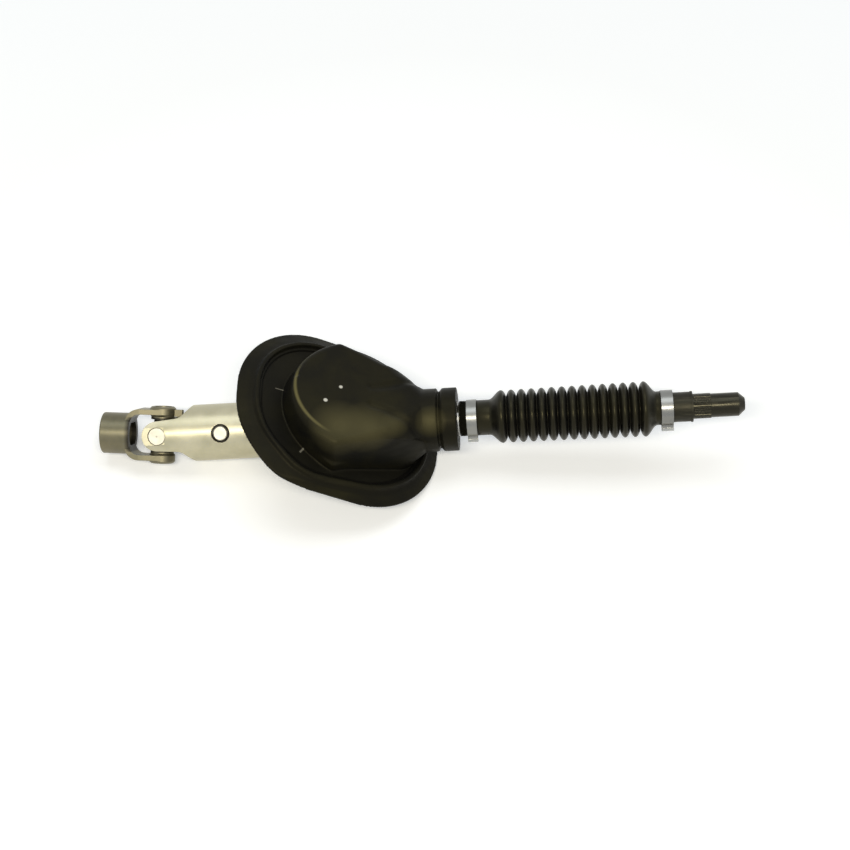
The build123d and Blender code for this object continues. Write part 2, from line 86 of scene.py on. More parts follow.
SHAFT_PLACE = axes_matrix(JOINT_CENTRE, SHAFT_LINE, SIDE_LINE, UP_LINE)
SEAL_STATION = 159.4 * MM
SEAL_SLOPE = math.radians(34.0)
FLANGE_LINE = SHAFT_LINE * math.cos(SEAL_SLOPE) - UP_LINE * math.sin(SEAL_SLOPE)
FLANGE_OUT = SHAFT_LINE * math.sin(SEAL_SLOPE) + UP_LINE * math.cos(SEAL_SLOPE)
SEAL_PLACE = axes_matrix(JOINT_CENTRE + SHAFT_LINE * SEAL_STATION, FLANGE_LINE, SIDE_LINE, FLANGE_OUT)


def shaft_point(station, across=0.0, above=0.0):
    """The point at a station along the shaft from the joint's centre, in metres."""
    return SHAFT_PLACE @ Vector((station, across, above))


# Sizes and colours that a user would change


class BellowsSizes(bpy.types.PropertyGroup):
    """The convoluted boot over the sliding joint"""

    start: bpy.props.FloatProperty(
        name="Start", description="Station where the left cuff starts", default=251.0 * MM, unit="LENGTH"
    )
    cone_start: bpy.props.FloatProperty(
        name="Cone start", description="Station where the left cuff flares", default=275.0 * MM, unit="LENGTH"
    )
    first_crest: bpy.props.FloatProperty(
        name="First crest", description="Station of the first crest", default=285.6 * MM, unit="LENGTH"
    )
    last_crest: bpy.props.FloatProperty(
        name="Last crest", description="Station of the last crest", default=402.6 * MM, unit="LENGTH"
    )
    cone_end: bpy.props.FloatProperty(
        name="Cone end",
        description="Station where the right cone meets its cuff",
        default=412.6 * MM,
        unit="LENGTH",
    )
    end: bpy.props.FloatProperty(
        name="End", description="Station where the right cuff ends", default=425.6 * MM, unit="LENGTH"
    )
    crests: bpy.props.IntProperty(name="Crests", description="Number of crests", default=15, min=2)
    left_cuff: bpy.props.FloatProperty(
        name="Left cuff", description="Radius of the left cuff", default=14.6 * MM, unit="LENGTH"
    )
    right_cuff: bpy.props.FloatProperty(
        name="Right cuff", description="Radius of the right cuff", default=13.85 * MM, unit="LENGTH"
    )
    left_crest: bpy.props.FloatProperty(
        name="Left crest", description="Radius of the first crest", default=21.85 * MM, unit="LENGTH"
    )
    right_crest: bpy.props.FloatProperty(
        name="Right crest", description="Radius of the last crest", default=22.8 * MM, unit="LENGTH"
    )
    root: bpy.props.FloatProperty(
        name="Root", description="Radius of the roots between crests", default=15.4 * MM, unit="LENGTH"
    )
    wall: bpy.props.FloatProperty(
        name="Wall", description="Thickness of the rubber", default=1.0 * MM, unit="LENGTH"
    )
    fullness: bpy.props.FloatProperty(
        name="Fullness",
        description="Under 1 the crests are fuller and the roots narrower",
        default=0.58,
        min=0.3,
        max=1.5,
    )


class SealSizes(bpy.types.PropertyGroup):
    """The moulded bulkhead seal"""

    softness: bpy.props.FloatProperty(
        name="Softness", description="Grain of the remeshed moulding", default=0.7 * MM, unit="LENGTH"
    )
    smoothing: bpy.props.IntProperty(
        name="Smoothing", description="How often the moulding's edges are eased", default=4, min=0
    )
    kept: bpy.props.FloatProperty(
        name="Kept", description="Share of the remeshed faces that stay", default=0.4, min=0.1, max=1.0
    )
    valley: bpy.props.FloatProperty(
        name="Valley",
        description="Depth of the soft valleys in the hood's roof",
        default=1.6 * MM,
        unit="LENGTH",
    )
    widening: bpy.props.FloatProperty(
        name="Widening",
        description="How far the recess bulges out at its near side",
        default=5.0 * MM,
        unit="LENGTH",
    )
    shoulder: bpy.props.FloatProperty(
        name="Shoulder",
        description="Height of the soft shoulders beside the valleys",
        default=0.9 * MM,
        unit="LENGTH",
    )


class FinishColours(bpy.types.PropertyGroup):
    """Colours of the finishes"""

    zinc_light: bpy.props.FloatVectorProperty(
        name="Zinc, light",
        description="Passivated zinc where it is thin",
        subtype="COLOR",
        default=(0.55, 0.51, 0.36),
    )
    zinc_dark: bpy.props.FloatVectorProperty(
        name="Zinc, dark",
        description="Passivated zinc where it is thick",
        subtype="COLOR",
        default=(0.41, 0.38, 0.25),
    )
    bare_steel: bpy.props.FloatVectorProperty(
        name="Bare steel",
        description="Turned steel of pins and cups",
        subtype="COLOR",
        default=(0.60, 0.57, 0.47),
    )
    rubber: bpy.props.FloatVectorProperty(
        name="Rubber", description="Black moulded rubber", subtype="COLOR", default=(0.0035, 0.0035, 0.0035)
    )
    rubber_bloom: bpy.props.FloatVectorProperty(
        name="Rubber bloom",
        description="Olive bloom on the rubber",
        subtype="COLOR",
        default=(0.011, 0.010, 0.005),
    )
    oxide: bpy.props.FloatVectorProperty(
        name="Black oxide",
        description="Oiled black finish of the shaft",
        subtype="COLOR",
        default=(0.006, 0.006, 0.0055),
    )
    floor: bpy.props.FloatVectorProperty(
        name="Floor", description="Colour of the studio floor", subtype="COLOR", default=(0.92, 0.92, 0.92)
    )


class StageSizes(bpy.types.PropertyGroup):
    """The camera and the floor"""

    elevation: bpy.props.FloatProperty(
        name="Elevation", description="Camera's height angle", default=math.radians(54.0), subtype="ANGLE"
    )
    turn: bpy.props.FloatProperty(
        name="Turn",
        description="Camera's turn about the vertical",
        default=math.radians(0.215),
        subtype="ANGLE",
    )
    distance: bpy.props.FloatProperty(
        name="Distance", description="Camera's distance from its target", default=1.4, unit="LENGTH"
    )
    target: bpy.props.FloatProperty(
        name="Target",
        description="Station on the shaft that the camera looks at",
        default=221.55 * MM,
        unit="LENGTH",
    )
    scale: bpy.props.FloatProperty(
        name="Scale",
        description="Length that one pixel covers at the target",
        default=0.83 * MM,
        unit="LENGTH",
    )
    frame_pixels: bpy.props.FloatProperty(
        name="Frame", description="Side of the photograph's frame in pixels", default=850.0
    )
    drop_pixels: bpy.props.FloatProperty(
        name="Drop", description="How far the target stands above the middle, in pixels", default=4.4
    )
    floor_side: bpy.props.FloatProperty(
        name="Floor side", description="Side of the studio floor", default=12.0, unit="LENGTH"
    )


SETTINGS = {
    "shaft_bellows": BellowsSizes,
    "shaft_seal": SealSizes,
    "shaft_colours": FinishColours,
    "shaft_stage": StageSizes,
}


def settings(name):
    """One group of this scene's settings."""
    return getattr(bpy.context.scene, name)


# Node trees


def add_node(tree, kind, inputs=None, **options):
    """A node with its options set and its inputs given as numbers or sockets, by name or place."""
    node = tree.nodes.new(kind)
    for option, value in options.items():
        setattr(node, option, value)
    for key, value in (inputs or {}).items():
        if isinstance(value, bpy.types.NodeSocket):
            tree.links.new(value, node.inputs[key])
        else:
            node.inputs[key].default_value = value
    return node


def maths(tree, operation, first, second=None, third=None):
    """A Math node's result."""
    inputs = {place: value for place, value in enumerate((first, second, third)) if value is not None}
    return add_node(tree, "ShaderNodeMath", inputs, operation=operation).outputs[0]


def surface_place(tree):
    """Object coordinates, in metres."""
    return add_node(tree, "ShaderNodeTexCoord").outputs["Object"]


def vector_maths(tree, operation, first, second=None):
    """A Vector Math node's results."""
    inputs = {place: value for place, value in enumerate((first, second)) if value is not None}
    return add_node(tree, "ShaderNodeVectorMath", inputs, operation=operation).outputs


def distance_from(tree, place, point):
    """How far the surface lies from a point."""
    return vector_maths(tree, "DISTANCE", place, tuple(point))["Value"]


def along(tree, place, origin, line):
    """How far the surface lies from a point along a line."""
    off = vector_maths(tree, "SUBTRACT", place, tuple(origin))[0]
    return vector_maths(tree, "DOT_PRODUCT", off, tuple(line))["Value"]


def beside(tree, place, origin, line):
    """How far the surface lies from the line that runs through a point."""
    off = vector_maths(tree, "SUBTRACT", place, tuple(origin))[0]
    side = vector_maths(tree, "CROSS_PRODUCT", off, tuple(line))[0]
    return vector_maths(tree, "LENGTH", side)["Value"]


def noise(tree, place, scale, detail=3.0, roughness=0.5, distortion=0.0):
    """A noise's strength over the surface."""
    inputs = {
        "Vector": place,
        "Scale": scale,
        "Detail": detail,
        "Roughness": roughness,
        "Distortion": distortion,
    }
    return add_node(tree, "ShaderNodeTexNoise", inputs).outputs[0]


def stretched(tree, place, factors):
    """The place with its axes scaled, for grain that runs one way."""
    return add_node(tree, "ShaderNodeMapping", {"Vector": place, "Scale": factors}).outputs[0]


def between(tree, value, low, high, out_low, out_high, easing="LINEAR"):
    """A value carried from one range to another, and held there."""
    inputs = {"Value": value, 1: low, 2: high, 3: out_low, 4: out_high}
    options = {"clamp": True, "interpolation_type": easing}
    return add_node(tree, "ShaderNodeMapRange", inputs, **options).outputs[0]


def colour_mix(tree, factor, first, second):
    """Two colours mixed by a factor."""
    node = tree.nodes.new("ShaderNodeMix")
    node.data_type = "RGBA"
    # The colour sockets share their names with other kinds, so they are taken by place
    sockets = {"Factor": node.inputs[0], "A": node.inputs[6], "B": node.inputs[7]}
    for key, value in (("Factor", factor), ("A", first), ("B", second)):
        if isinstance(value, bpy.types.NodeSocket):
            tree.links.new(value, sockets[key])
        elif key == "Factor":
            sockets[key].default_value = value
        else:
            sockets[key].default_value = (*value[:3], 1.0)
    return node.outputs[2]


def bump(tree, height, strength, distance, normal=None):
    """A normal tilted by a height."""
    inputs = {"Height": height, "Strength": strength, "Distance": distance}
    if normal is not None:
        inputs["Normal"] = normal
    return add_node(tree, "ShaderNodeBump", inputs).outputs[0]


def eased_edges(tree, radius):
    """A normal that runs round sharp edges as if they were broken by a small radius."""
    return add_node(tree, "ShaderNodeBevel", {"Radius": radius}, samples=4).outputs[0]


def scaled(colour, *shares):
    """A colour with its channels multiplied by one share, or by a share each."""
    each = shares if len(shares) > 1 else shares * len(colour)
    return tuple(channel * share for channel, share in zip(colour, each))


def new_finish(name, metallic=0.0, specular=0.5):
    """A material with its shader, ready for colour, roughness and bump."""
    material = bpy.data.materials.new(name)
    material.use_nodes = True
    shader = material.node_tree.nodes["Principled BSDF"]
    shader.inputs["Metallic"].default_value = metallic
    shader.inputs["Specular IOR Level"].default_value = specular
    return material, material.node_tree, shader


# Finishes


GRAIN_DEPTH = 0.05 * MM
RING_DEPTH = 0.06 * MM
RING_PITCH = 0.35 * MM
CLOUD_DEPTH = 0.5 * MM
FORGED_EDGE = 0.5 * MM
TURNED_EDGE = 0.35 * MM
DIMPLE = (0.4 * MM, 1.1 * MM)
RIM_WIDTH = 0.9 * MM
DULL_SHARE = 0.72
DUST_SHARE = 2.2
RUBBED_GREY = (0.78, 0.80, 0.82)
RUBBED_BROWN = (0.07, 0.064, 0.045)
OLIVE_SHEEN = (1.0, 0.90, 0.50, 1.0)
OIL_SHEEN = (1.0, 0.92, 0.62, 1.0)
SMEAR_STRETCH = (40.0, 160.0, 160.0)
STREAK_STRETCH = (60.0, 500.0, 500.0)

# Painted shade on the faces of the fork and the arms that look at the cross, where the throat lies in shadow
GREASE_AND_SHADE = (0.018, 0.016, 0.012)
SHADE_NEAR = 31.0 * MM
SHADE_FAR = 34.0 * MM
ARMS_INSIDE = 14.0 * MM
ARMS_EDGE = 1.0 * MM


def zinc_finish(name, light, dark, grain_scale, roughness, metallic=0.8, throat_shade=0.0, arms=None):
    """Passivated zinc: cloudy straw, grey where it is rubbed, with a fine grain and painted shade in the
    throat by the joint.
    """
    material, tree, shader = new_finish(name, metallic=metallic)
    place = surface_place(tree)
    cloud = noise(tree, place, 38.0, detail=4.0, roughness=0.6)
    cloud_share = between(tree, cloud, 0.32, 0.72, 0.0, 1.0)
    tint = colour_mix(tree, cloud_share, dark, light)
    speckle = noise(tree, place, 900.0, detail=2.0)
    speckle_share = between(tree, speckle, 0.55, 0.75, 0.0, 0.35)
    mean = sum(light) / len(light)
    grey = tuple(mean * share for share in RUBBED_GREY)
    colour = colour_mix(tree, speckle_share, tint, grey)
    # Painted shade: faces near the cross and between the arms are darkened, where the throat lies in shadow
    if throat_shade:
        reach = distance_from(tree, place, JOINT_CENTRE)
        coverage = between(tree, reach, SHADE_NEAR, SHADE_FAR, 1.0, 0.0)
        aside = maths(tree, "ABSOLUTE", along(tree, place, JOINT_CENTRE, arms))
        inner = between(tree, aside, ARMS_INSIDE, ARMS_INSIDE + ARMS_EDGE, throat_shade, 0.0)
        colour = colour_mix(tree, maths(tree, "MULTIPLY", coverage, inner), colour, GREASE_AND_SHADE)
    tree.links.new(colour, shader.inputs["Base Color"])
    grain = noise(tree, place, grain_scale, detail=5.0, roughness=0.65)
    rough = between(tree, cloud, 0.3, 0.7, roughness - 0.05, roughness + 0.07)
    tree.links.new(rough, shader.inputs["Roughness"])
    normal = bump(tree, grain, 0.2, GRAIN_DEPTH, eased_edges(tree, FORGED_EDGE))
    tree.links.new(normal, shader.inputs["Normal"])
    return material


def turned_finish(name, colour, line, roughness, centre=JOINT_CENTRE, rim=0.0):
    """Turned steel: bright, with faint rings about its own axis, a centre dimple and a dark rim."""
    material, tree, shader = new_finish(name, metallic=0.7)
    place = surface_place(tree)
    cloud = noise(tree, place, 160.0, detail=3.0)
    share = between(tree, cloud, 0.35, 0.7, 0.0, 0.6)
    radius = beside(tree, place, centre, line)
    body = colour_mix(tree, share, colour, scaled(colour, DULL_SHARE))
    if rim:
        dimple = between(tree, radius, *DIMPLE, 0.45, 0.0)
        edge = between(tree, radius, rim - RIM_WIDTH, rim, 0.0, 0.8)
        body = colour_mix(tree, maths(tree, "MAXIMUM", dimple, edge), body, GREASE_AND_SHADE)
    tree.links.new(body, shader.inputs["Base Color"])
    rings = maths(tree, "SINE", maths(tree, "MULTIPLY", radius, 2.0 * math.pi / RING_PITCH))
    grain = noise(tree, place, 1200.0, detail=2.0)
    height = maths(tree, "ADD", maths(tree, "MULTIPLY", rings, 0.35), grain)
    rough = between(tree, cloud, 0.3, 0.7, roughness, roughness + 0.14)
    tree.links.new(rough, shader.inputs["Roughness"])
    normal = bump(tree, height, 0.12, RING_DEPTH, eased_edges(tree, TURNED_EDGE))
    tree.links.new(normal, shader.inputs["Normal"])
    return material


def rubber_finish(name, black, bloom, roughness, bloom_share, edge=0.0, marks=None, gloss=0.10):
    """Moulded rubber: near black, with an olive bloom in clouds, fine grain and faint scuffs."""
    material, tree, shader = new_finish(name, specular=gloss)
    shader.inputs["Specular Tint"].default_value = OLIVE_SHEEN
    place = surface_place(tree)
    cloud = noise(tree, place, 22.0, detail=4.0, roughness=0.6, distortion=0.4)
    share = between(tree, cloud, 0.38, 0.68, 0.0, bloom_share)
    body = colour_mix(tree, share, black, bloom)
    dust = noise(tree, place, 650.0, detail=2.0, roughness=0.7)
    dust_share = between(tree, dust, 0.62, 0.80, 0.0, 0.25)
    colour = colour_mix(tree, dust_share, body, scaled(bloom, DUST_SHARE))
    if marks is not None:
        colour = marks(tree, place, colour)
    tree.links.new(colour, shader.inputs["Base Color"])
    grain = noise(tree, place, 1500.0, detail=3.0, roughness=0.6)
    smear = noise(tree, stretched(tree, place, SMEAR_STRETCH), 1.0)
    rough = between(tree, smear, 0.3, 0.7, roughness - 0.06, roughness + 0.10)
    tree.links.new(rough, shader.inputs["Roughness"])
    normal = eased_edges(tree, edge) if edge else None
    normal = bump(tree, grain, 0.18, GRAIN_DEPTH, normal)
    normal = bump(tree, cloud, 0.10, CLOUD_DEPTH, normal)
    tree.links.new(normal, shader.inputs["Normal"])
    return material


# The seal's marks. The painted highlight along the lit edge of the hood's roof is an arc of a circle in
# station and offset.
# Patches, specks and ticks are in millimetres, the ticks in the seal's own frame.
RECESS_SHADE_COLOUR = (0.003, 0.003, 0.003)
RECESS_SHADE = 0.75
RECESS_FLOOR = (5.0 * MM, 6.0 * MM)
RECESS_STEP = (7.5 * MM, 8.5 * MM)
EDGE_HIGHLIGHT = (0.13, 0.115, 0.05)
EDGE_CENTRE = (172.0 * MM, 5.0 * MM)
EDGE_RADIUS = 50.6 * MM
EDGE_WIDTH = (0.4 * MM, 1.9 * MM)
EDGE_FAR_SIDE = (12.0 * MM, 24.0 * MM)
EDGE_END = (142.0 * MM, 152.0 * MM)
EDGE_HEIGHT = (18.0 * MM, 21.0 * MM)
PAINTED_SHEEN = (0.072, 0.064, 0.030)
SHEEN_PATCHES = (
    (158.0, -34.0, 47.0, 26.0),
    (182.0, -32.0, 42.0, 26.0),
    (204.0, -26.0, 38.0, 16.0),
    (228.0, -16.0, 20.0, 14.0),
)
SPECK_COLOUR = (0.55, 0.54, 0.48)
SPECKS = (
    (145.8, -10.5, 49.8, 3.4),
    (157.3, 4.6, 46.2, 3.0),
)
TICK_COLOUR = (0.16, 0.15, 0.12)
TICKS = (
    ((-47.0, -47.5, 6.0), (-43.4, -42.0, 6.0), 1.2),
    ((41.0, -33.5, 6.0), (45.5, -32.5, 6.0), 1.2),
    ((-72.0, 8.0, 6.0), (-53.0, 8.6, 6.0), 0.7),
)


def spotted(tree, place, colour, spots, inner, outer, strength, tint):
    """A colour with soft round spots, each a station, an offset, a height and a size in millimetres."""
    for station, across, above, size in spots:
        reach = distance_from(tree, place, shaft_point(station * MM, across * MM, above * MM))
        coverage = between(tree, reach, inner * size * MM, outer * size * MM, strength, 0.0)
        colour = colour_mix(tree, coverage, colour, tint)
    return colour


def seal_marks(tree, place, colour):
    """The seal's marks: painted shade in the recess, a painted highlight on the roof's lit edge, painted
    olive sheen on the roof and neck, and specks and ticks.
    """
    # Painted shade on the recess floor and the foot of the hood's wall
    height = along(tree, place, SEAL_PLACE.translation, FLANGE_OUT)
    above_floor = between(tree, height, *RECESS_FLOOR, 0.0, 1.0)
    under_step = between(tree, height, *RECESS_STEP, 1.0, 0.0)
    shade = maths(tree, "MULTIPLY", maths(tree, "MULTIPLY", above_floor, under_step), RECESS_SHADE)
    colour = colour_mix(tree, shade, colour, RECESS_SHADE_COLOUR)

    # Painted highlight along the lit left edge of the hood's roof
    station = along(tree, place, JOINT_CENTRE, SHAFT_LINE)
    aside = along(tree, place, JOINT_CENTRE, SIDE_LINE)
    from_station = maths(tree, "SUBTRACT", station, EDGE_CENTRE[0])
    from_aside = maths(tree, "SUBTRACT", aside, EDGE_CENTRE[1])
    station_squared = maths(tree, "MULTIPLY", from_station, from_station)
    aside_squared = maths(tree, "MULTIPLY", from_aside, from_aside)
    radius = maths(tree, "SQRT", maths(tree, "ADD", station_squared, aside_squared))
    off_edge = maths(tree, "ABSOLUTE", maths(tree, "SUBTRACT", radius, EDGE_RADIUS))
    band = between(tree, off_edge, *EDGE_WIDTH, 0.85, 0.0)
    band = maths(tree, "MULTIPLY", band, between(tree, aside, *EDGE_FAR_SIDE, 1.0, 0.15))
    band = maths(tree, "MULTIPLY", band, between(tree, station, *EDGE_END, 1.0, 0.0))
    band = maths(tree, "MULTIPLY", band, between(tree, height, *EDGE_HEIGHT, 0.0, 1.0))
    colour = colour_mix(tree, band, colour, EDGE_HIGHLIGHT)

    # Painted olive sheen on the near half of the roof and on the neck, where the lamp's highlight falls
    colour = spotted(tree, place, colour, SHEEN_PATCHES, 0.15, 1.0, 0.8, PAINTED_SHEEN)
    colour = spotted(tree, place, colour, SPECKS, 0.35, 0.6, 1.0, SPECK_COLOUR)
    for start, finish, width in TICKS:
        line = Vector(finish) - Vector(start)
        half = line.length * MM / 2
        way = SEAL_PLACE.to_3x3() @ line.normalized()
        origin = SEAL_PLACE @ (Vector(start) * MM)
        inside = maths(tree, "COMPARE", along(tree, place, origin, way), half, half)
        stroke = between(tree, beside(tree, place, origin, way), 0.4 * width * MM, 0.9 * width * MM, 0.8, 0.0)
        colour = colour_mix(tree, maths(tree, "MULTIPLY", stroke, inside), colour, TICK_COLOUR)
    return colour


def oxide_finish(name, colour, roughness):
    """Oiled black oxide on turned steel: dark, with brown rub marks that run along the shaft."""
    material, tree, shader = new_finish(name, metallic=0.1, specular=0.3)
    shader.inputs["Specular Tint"].default_value = OIL_SHEEN
    place = surface_place(tree)
    streaks = noise(tree, stretched(tree, place, STREAK_STRETCH), 1.0, detail=4.0)
    share = between(tree, streaks, 0.5, 0.78, 0.0, 0.35)
    tree.links.new(colour_mix(tree, share, colour, RUBBED_BROWN), shader.inputs["Base Color"])
    cloud = noise(tree, place, 90.0)
    rough = between(tree, cloud, 0.3, 0.7, roughness - 0.06, roughness + 0.1)
    tree.links.new(rough, shader.inputs["Roughness"])
    normal = bump(tree, noise(tree, place, 1100.0), 0.15, GRAIN_DEPTH, eased_edges(tree, TURNED_EDGE))
    tree.links.new(normal, shader.inputs["Normal"])
    return material


NYLON_DULL = (0.62, 0.59, 0.50)
NYLON_FRESH = (0.72, 0.70, 0.62)


def nylon_finish(name, lightness=1.0):
    """Natural nylon of the bush and the spline sleeve: waxy, mottled, and darkened evenly by a given share.
    """
    material, tree, shader = new_finish(name)
    place = surface_place(tree)
    share = between(tree, noise(tree, place, 120.0), 0.35, 0.65, 0.0, 1.0)
    colour = colour_mix(tree, share, scaled(NYLON_DULL, lightness), scaled(NYLON_FRESH, lightness))
    tree.links.new(colour, shader.inputs["Base Color"])
    shader.inputs["Roughness"].default_value = 0.42
    tree.links.new(bump(tree, noise(tree, place, 1300.0), 0.1, GRAIN_DEPTH), shader.inputs["Normal"])
    return material


def wear(nodes, material):
    """Gives CAD nodes a finish."""
    for name in nodes:
        data = frame["nodes"][name].data
        data.materials.clear()
        data.materials.append(material)


# Meshes


WELD_GAP = 0.002 * MM


def link_object(name, mesh):
    """A new object at the origin for a mesh."""
    piece = bpy.data.objects.new(name, mesh)
    bpy.context.scene.collection.objects.link(piece)
    return piece


def finished_mesh(piece):
    """The piece's mesh with its modifiers applied."""
    bpy.context.view_layer.update()
    graph = bpy.context.evaluated_depsgraph_get()
    return bpy.data.meshes.new_from_object(piece.evaluated_get(graph), depsgraph=graph)


def settle(piece, name):
    """Turns a modified object into a plain mesh object of this name, and removes the old one."""
    mesh = finished_mesh(piece)
    mesh.name = name
    old = piece.data
    bpy.data.objects.remove(piece)
    bpy.data.meshes.remove(old)
    return link_object(name, mesh)


def shade_smooth(mesh):
    """Smooth shading on every face."""
    for polygon in mesh.polygons:
        polygon.use_smooth = True


def merged_copy(node_name, piece_name):
    """A welded copy of a CAD node's mesh, as an object of its own."""
    source = frame["nodes"][node_name]
    shape = bmesh.new()
    shape.from_mesh(source.data)
    bmesh.ops.remove_doubles(shape, verts=shape.verts, dist=WELD_GAP)
    mesh = bpy.data.meshes.new(piece_name)
    shape.to_mesh(mesh)
    shape.free()
    return link_object(piece_name, mesh)


def run_nodes(tree, name, values):
    """Runs a geometry tree on an empty mesh with its named inputs set, and gives the plain result."""
    piece = link_object(name + "_rule", bpy.data.meshes.new(name + "_rule"))
    modifier = piece.modifiers.new("Rule", "NODES")
    modifier.node_group = tree
    for item in tree.interface.items_tree:
        if item.item_type == "SOCKET" and item.in_out == "INPUT" and item.name in values:
            modifier[item.identifier] = values[item.name]
    return settle(piece, name)


def geometry_tree(name, inputs):
    """An empty geometry tree with named inputs and its group nodes."""
    tree = bpy.data.node_groups.new(name, "GeometryNodeTree")
    for label, kind in inputs.items():
        tree.interface.new_socket(label, in_out="INPUT", socket_type=kind)
    tree.interface.new_socket("Geometry", in_out="OUTPUT", socket_type="NodeSocketGeometry")
    return tree, tree.nodes.new("NodeGroupInput"), tree.nodes.new("NodeGroupOutput")


def finish_tree(tree, geometry, material, group_out):
    """Ends a tree with Realize Instances and Set Material."""
    real = add_node(tree, "GeometryNodeRealizeInstances", {0: geometry}).outputs[0]
    painted = add_node(tree, "GeometryNodeSetMaterial", {"Geometry": real, "Material": material}).outputs[0]
    tree.links.new(painted, group_out.inputs[0])


# Bellows


BELLOWS_ROWS = 330
BELLOWS_COLUMNS = 97
SEAM_GAP = 0.02 * MM
# The grid's first and last rows are the cuffs' ends, and all its other rows lie between the cones' ends
FIRST_ROW = 0.0001
LAST_ROW = 0.9999


def bellows_tree():
    """A tube whose radius follows cuffs, cones and rounded convolutions."""
    lengths = ["Start", "Cone start", "First crest", "Last crest", "Cone end", "End"]
    radii = ["Left cuff", "Right cuff", "Left crest", "Right crest", "Root", "Fullness"]
    inputs = {label: "NodeSocketFloat" for label in lengths + radii}
    inputs["Crests"] = "NodeSocketInt"
    inputs["Rows"] = "NodeSocketInt"
    inputs["Columns"] = "NodeSocketInt"
    inputs["Material"] = "NodeSocketMaterial"
    tree, group, group_out = geometry_tree("Bellows rule", inputs)
    given = group.outputs
    grid_inputs = {"Size X": 1.0, "Size Y": 1.0, "Vertices X": given["Rows"], "Vertices Y": given["Columns"]}
    grid = add_node(tree, "GeometryNodeMeshGrid", grid_inputs).outputs["Mesh"]
    position = add_node(tree, "GeometryNodeInputPosition").outputs[0]
    lengthwise, round_about = add_node(tree, "ShaderNodeSeparateXYZ", {0: position}).outputs[:2]
    share = maths(tree, "ADD", lengthwise, 0.5)
    turn = maths(tree, "MULTIPLY", round_about, 2.0 * math.pi)
    inner = between(tree, share, 0.0, 1.0, given["Cone start"], given["Cone end"])
    first_row = maths(tree, "LESS_THAN", share, FIRST_ROW)
    last_row = maths(tree, "GREATER_THAN", share, LAST_ROW)
    back = maths(tree, "MULTIPLY", first_row, maths(tree, "SUBTRACT", given["Start"], given["Cone start"]))
    onward = maths(tree, "MULTIPLY", last_row, maths(tree, "SUBTRACT", given["End"], given["Cone end"]))
    station = maths(tree, "ADD", inner, maths(tree, "ADD", back, onward))
    run = between(tree, station, given["First crest"], given["Last crest"], 0.0, 1.0)
    gaps = maths(tree, "SUBTRACT", given["Crests"], 1.0)
    phase = maths(tree, "MULTIPLY", maths(tree, "MULTIPLY", run, gaps), math.pi)
    swell = maths(tree, "POWER", maths(tree, "ABSOLUTE", maths(tree, "COSINE", phase)), given["Fullness"])
    depth = maths(tree, "SUBTRACT", 1.0, swell)
    crest = between(tree, run, 0.0, 1.0, given["Left crest"], given["Right crest"])
    fall = maths(tree, "MULTIPLY", depth, maths(tree, "SUBTRACT", crest, given["Root"]))
    waved = maths(tree, "SUBTRACT", crest, fall)
    rise = between(tree, station, given["Cone start"], given["First crest"], 1.0, 0.0, "SMOOTHSTEP")
    sink = between(tree, station, given["Last crest"], given["Cone end"], 0.0, 1.0, "SMOOTHSTEP")
    left = maths(tree, "MULTIPLY", rise, maths(tree, "SUBTRACT", given["Left crest"], given["Left cuff"]))
    right = maths(tree, "MULTIPLY", sink, maths(tree, "SUBTRACT", given["Right crest"], given["Right cuff"]))
    radius = maths(tree, "SUBTRACT", waved, maths(tree, "ADD", left, right))
    across = maths(tree, "MULTIPLY", radius, maths(tree, "COSINE", turn))
    above = maths(tree, "MULTIPLY", radius, maths(tree, "SINE", turn))
    point = add_node(tree, "ShaderNodeCombineXYZ", {0: station, 1: across, 2: above}).outputs[0]
    placed = add_node(tree, "GeometryNodeSetPosition", {"Geometry": grid, "Position": point}).outputs[0]
    weld_inputs = {"Geometry": placed, "Distance": SEAM_GAP}
    welded = add_node(tree, "GeometryNodeMergeByDistance", weld_inputs).outputs[0]
    shaded = add_node(tree, "GeometryNodeSetShadeSmooth", {"Geometry": welded}).outputs[0]
    finish_tree(tree, shaded, given["Material"], group_out)
    return tree


def outward(mesh):
    """Turns the mesh's faces outwards."""
    shape = bmesh.new()
    shape.from_mesh(mesh)
    bmesh.ops.recalc_face_normals(shape, faces=shape.faces)
    shape.to_mesh(mesh)
    shape.free()


class SHAFT_OT_bellows(bpy.types.Operator):
    """Make the rubber boot over the sliding joint"""

    bl_idname = "steering_shaft.bellows"
    bl_label = "Bellows"

    def execute(self, context):
        sizes = settings("shaft_bellows")
        colours = settings("shaft_colours")
        black, bloom = colours.rubber, colours.rubber_bloom
        rubber = rubber_finish("boot_rubber", black, bloom, roughness=0.33, bloom_share=0.6, gloss=0.22)
        values = {
            "Start": sizes.start,
            "Cone start": sizes.cone_start,
            "First crest": sizes.first_crest,
            "Last crest": sizes.last_crest,
            "Cone end": sizes.cone_end,
            "End": sizes.end,
            "Left cuff": sizes.left_cuff,
            "Right cuff": sizes.right_cuff,
            "Left crest": sizes.left_crest,
            "Right crest": sizes.right_crest,
            "Root": sizes.root,
            "Fullness": sizes.fullness,
            "Crests": sizes.crests,
            "Rows": BELLOWS_ROWS,
            "Columns": BELLOWS_COLUMNS,
            "Material": rubber,
        }
        piece = run_nodes(bellows_tree(), "boot", values)
        outward(piece.data)
        wall = piece.modifiers.new("Wall", "SOLIDIFY")
        wall.thickness = sizes.wall
        wall.offset = -1.0
        piece = settle(piece, "boot")
        piece.data.transform(SHAFT_PLACE)
        shade_smooth(piece.data)
        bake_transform(piece)
        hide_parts("bellows")
        return {"FINISHED"}


# Seal


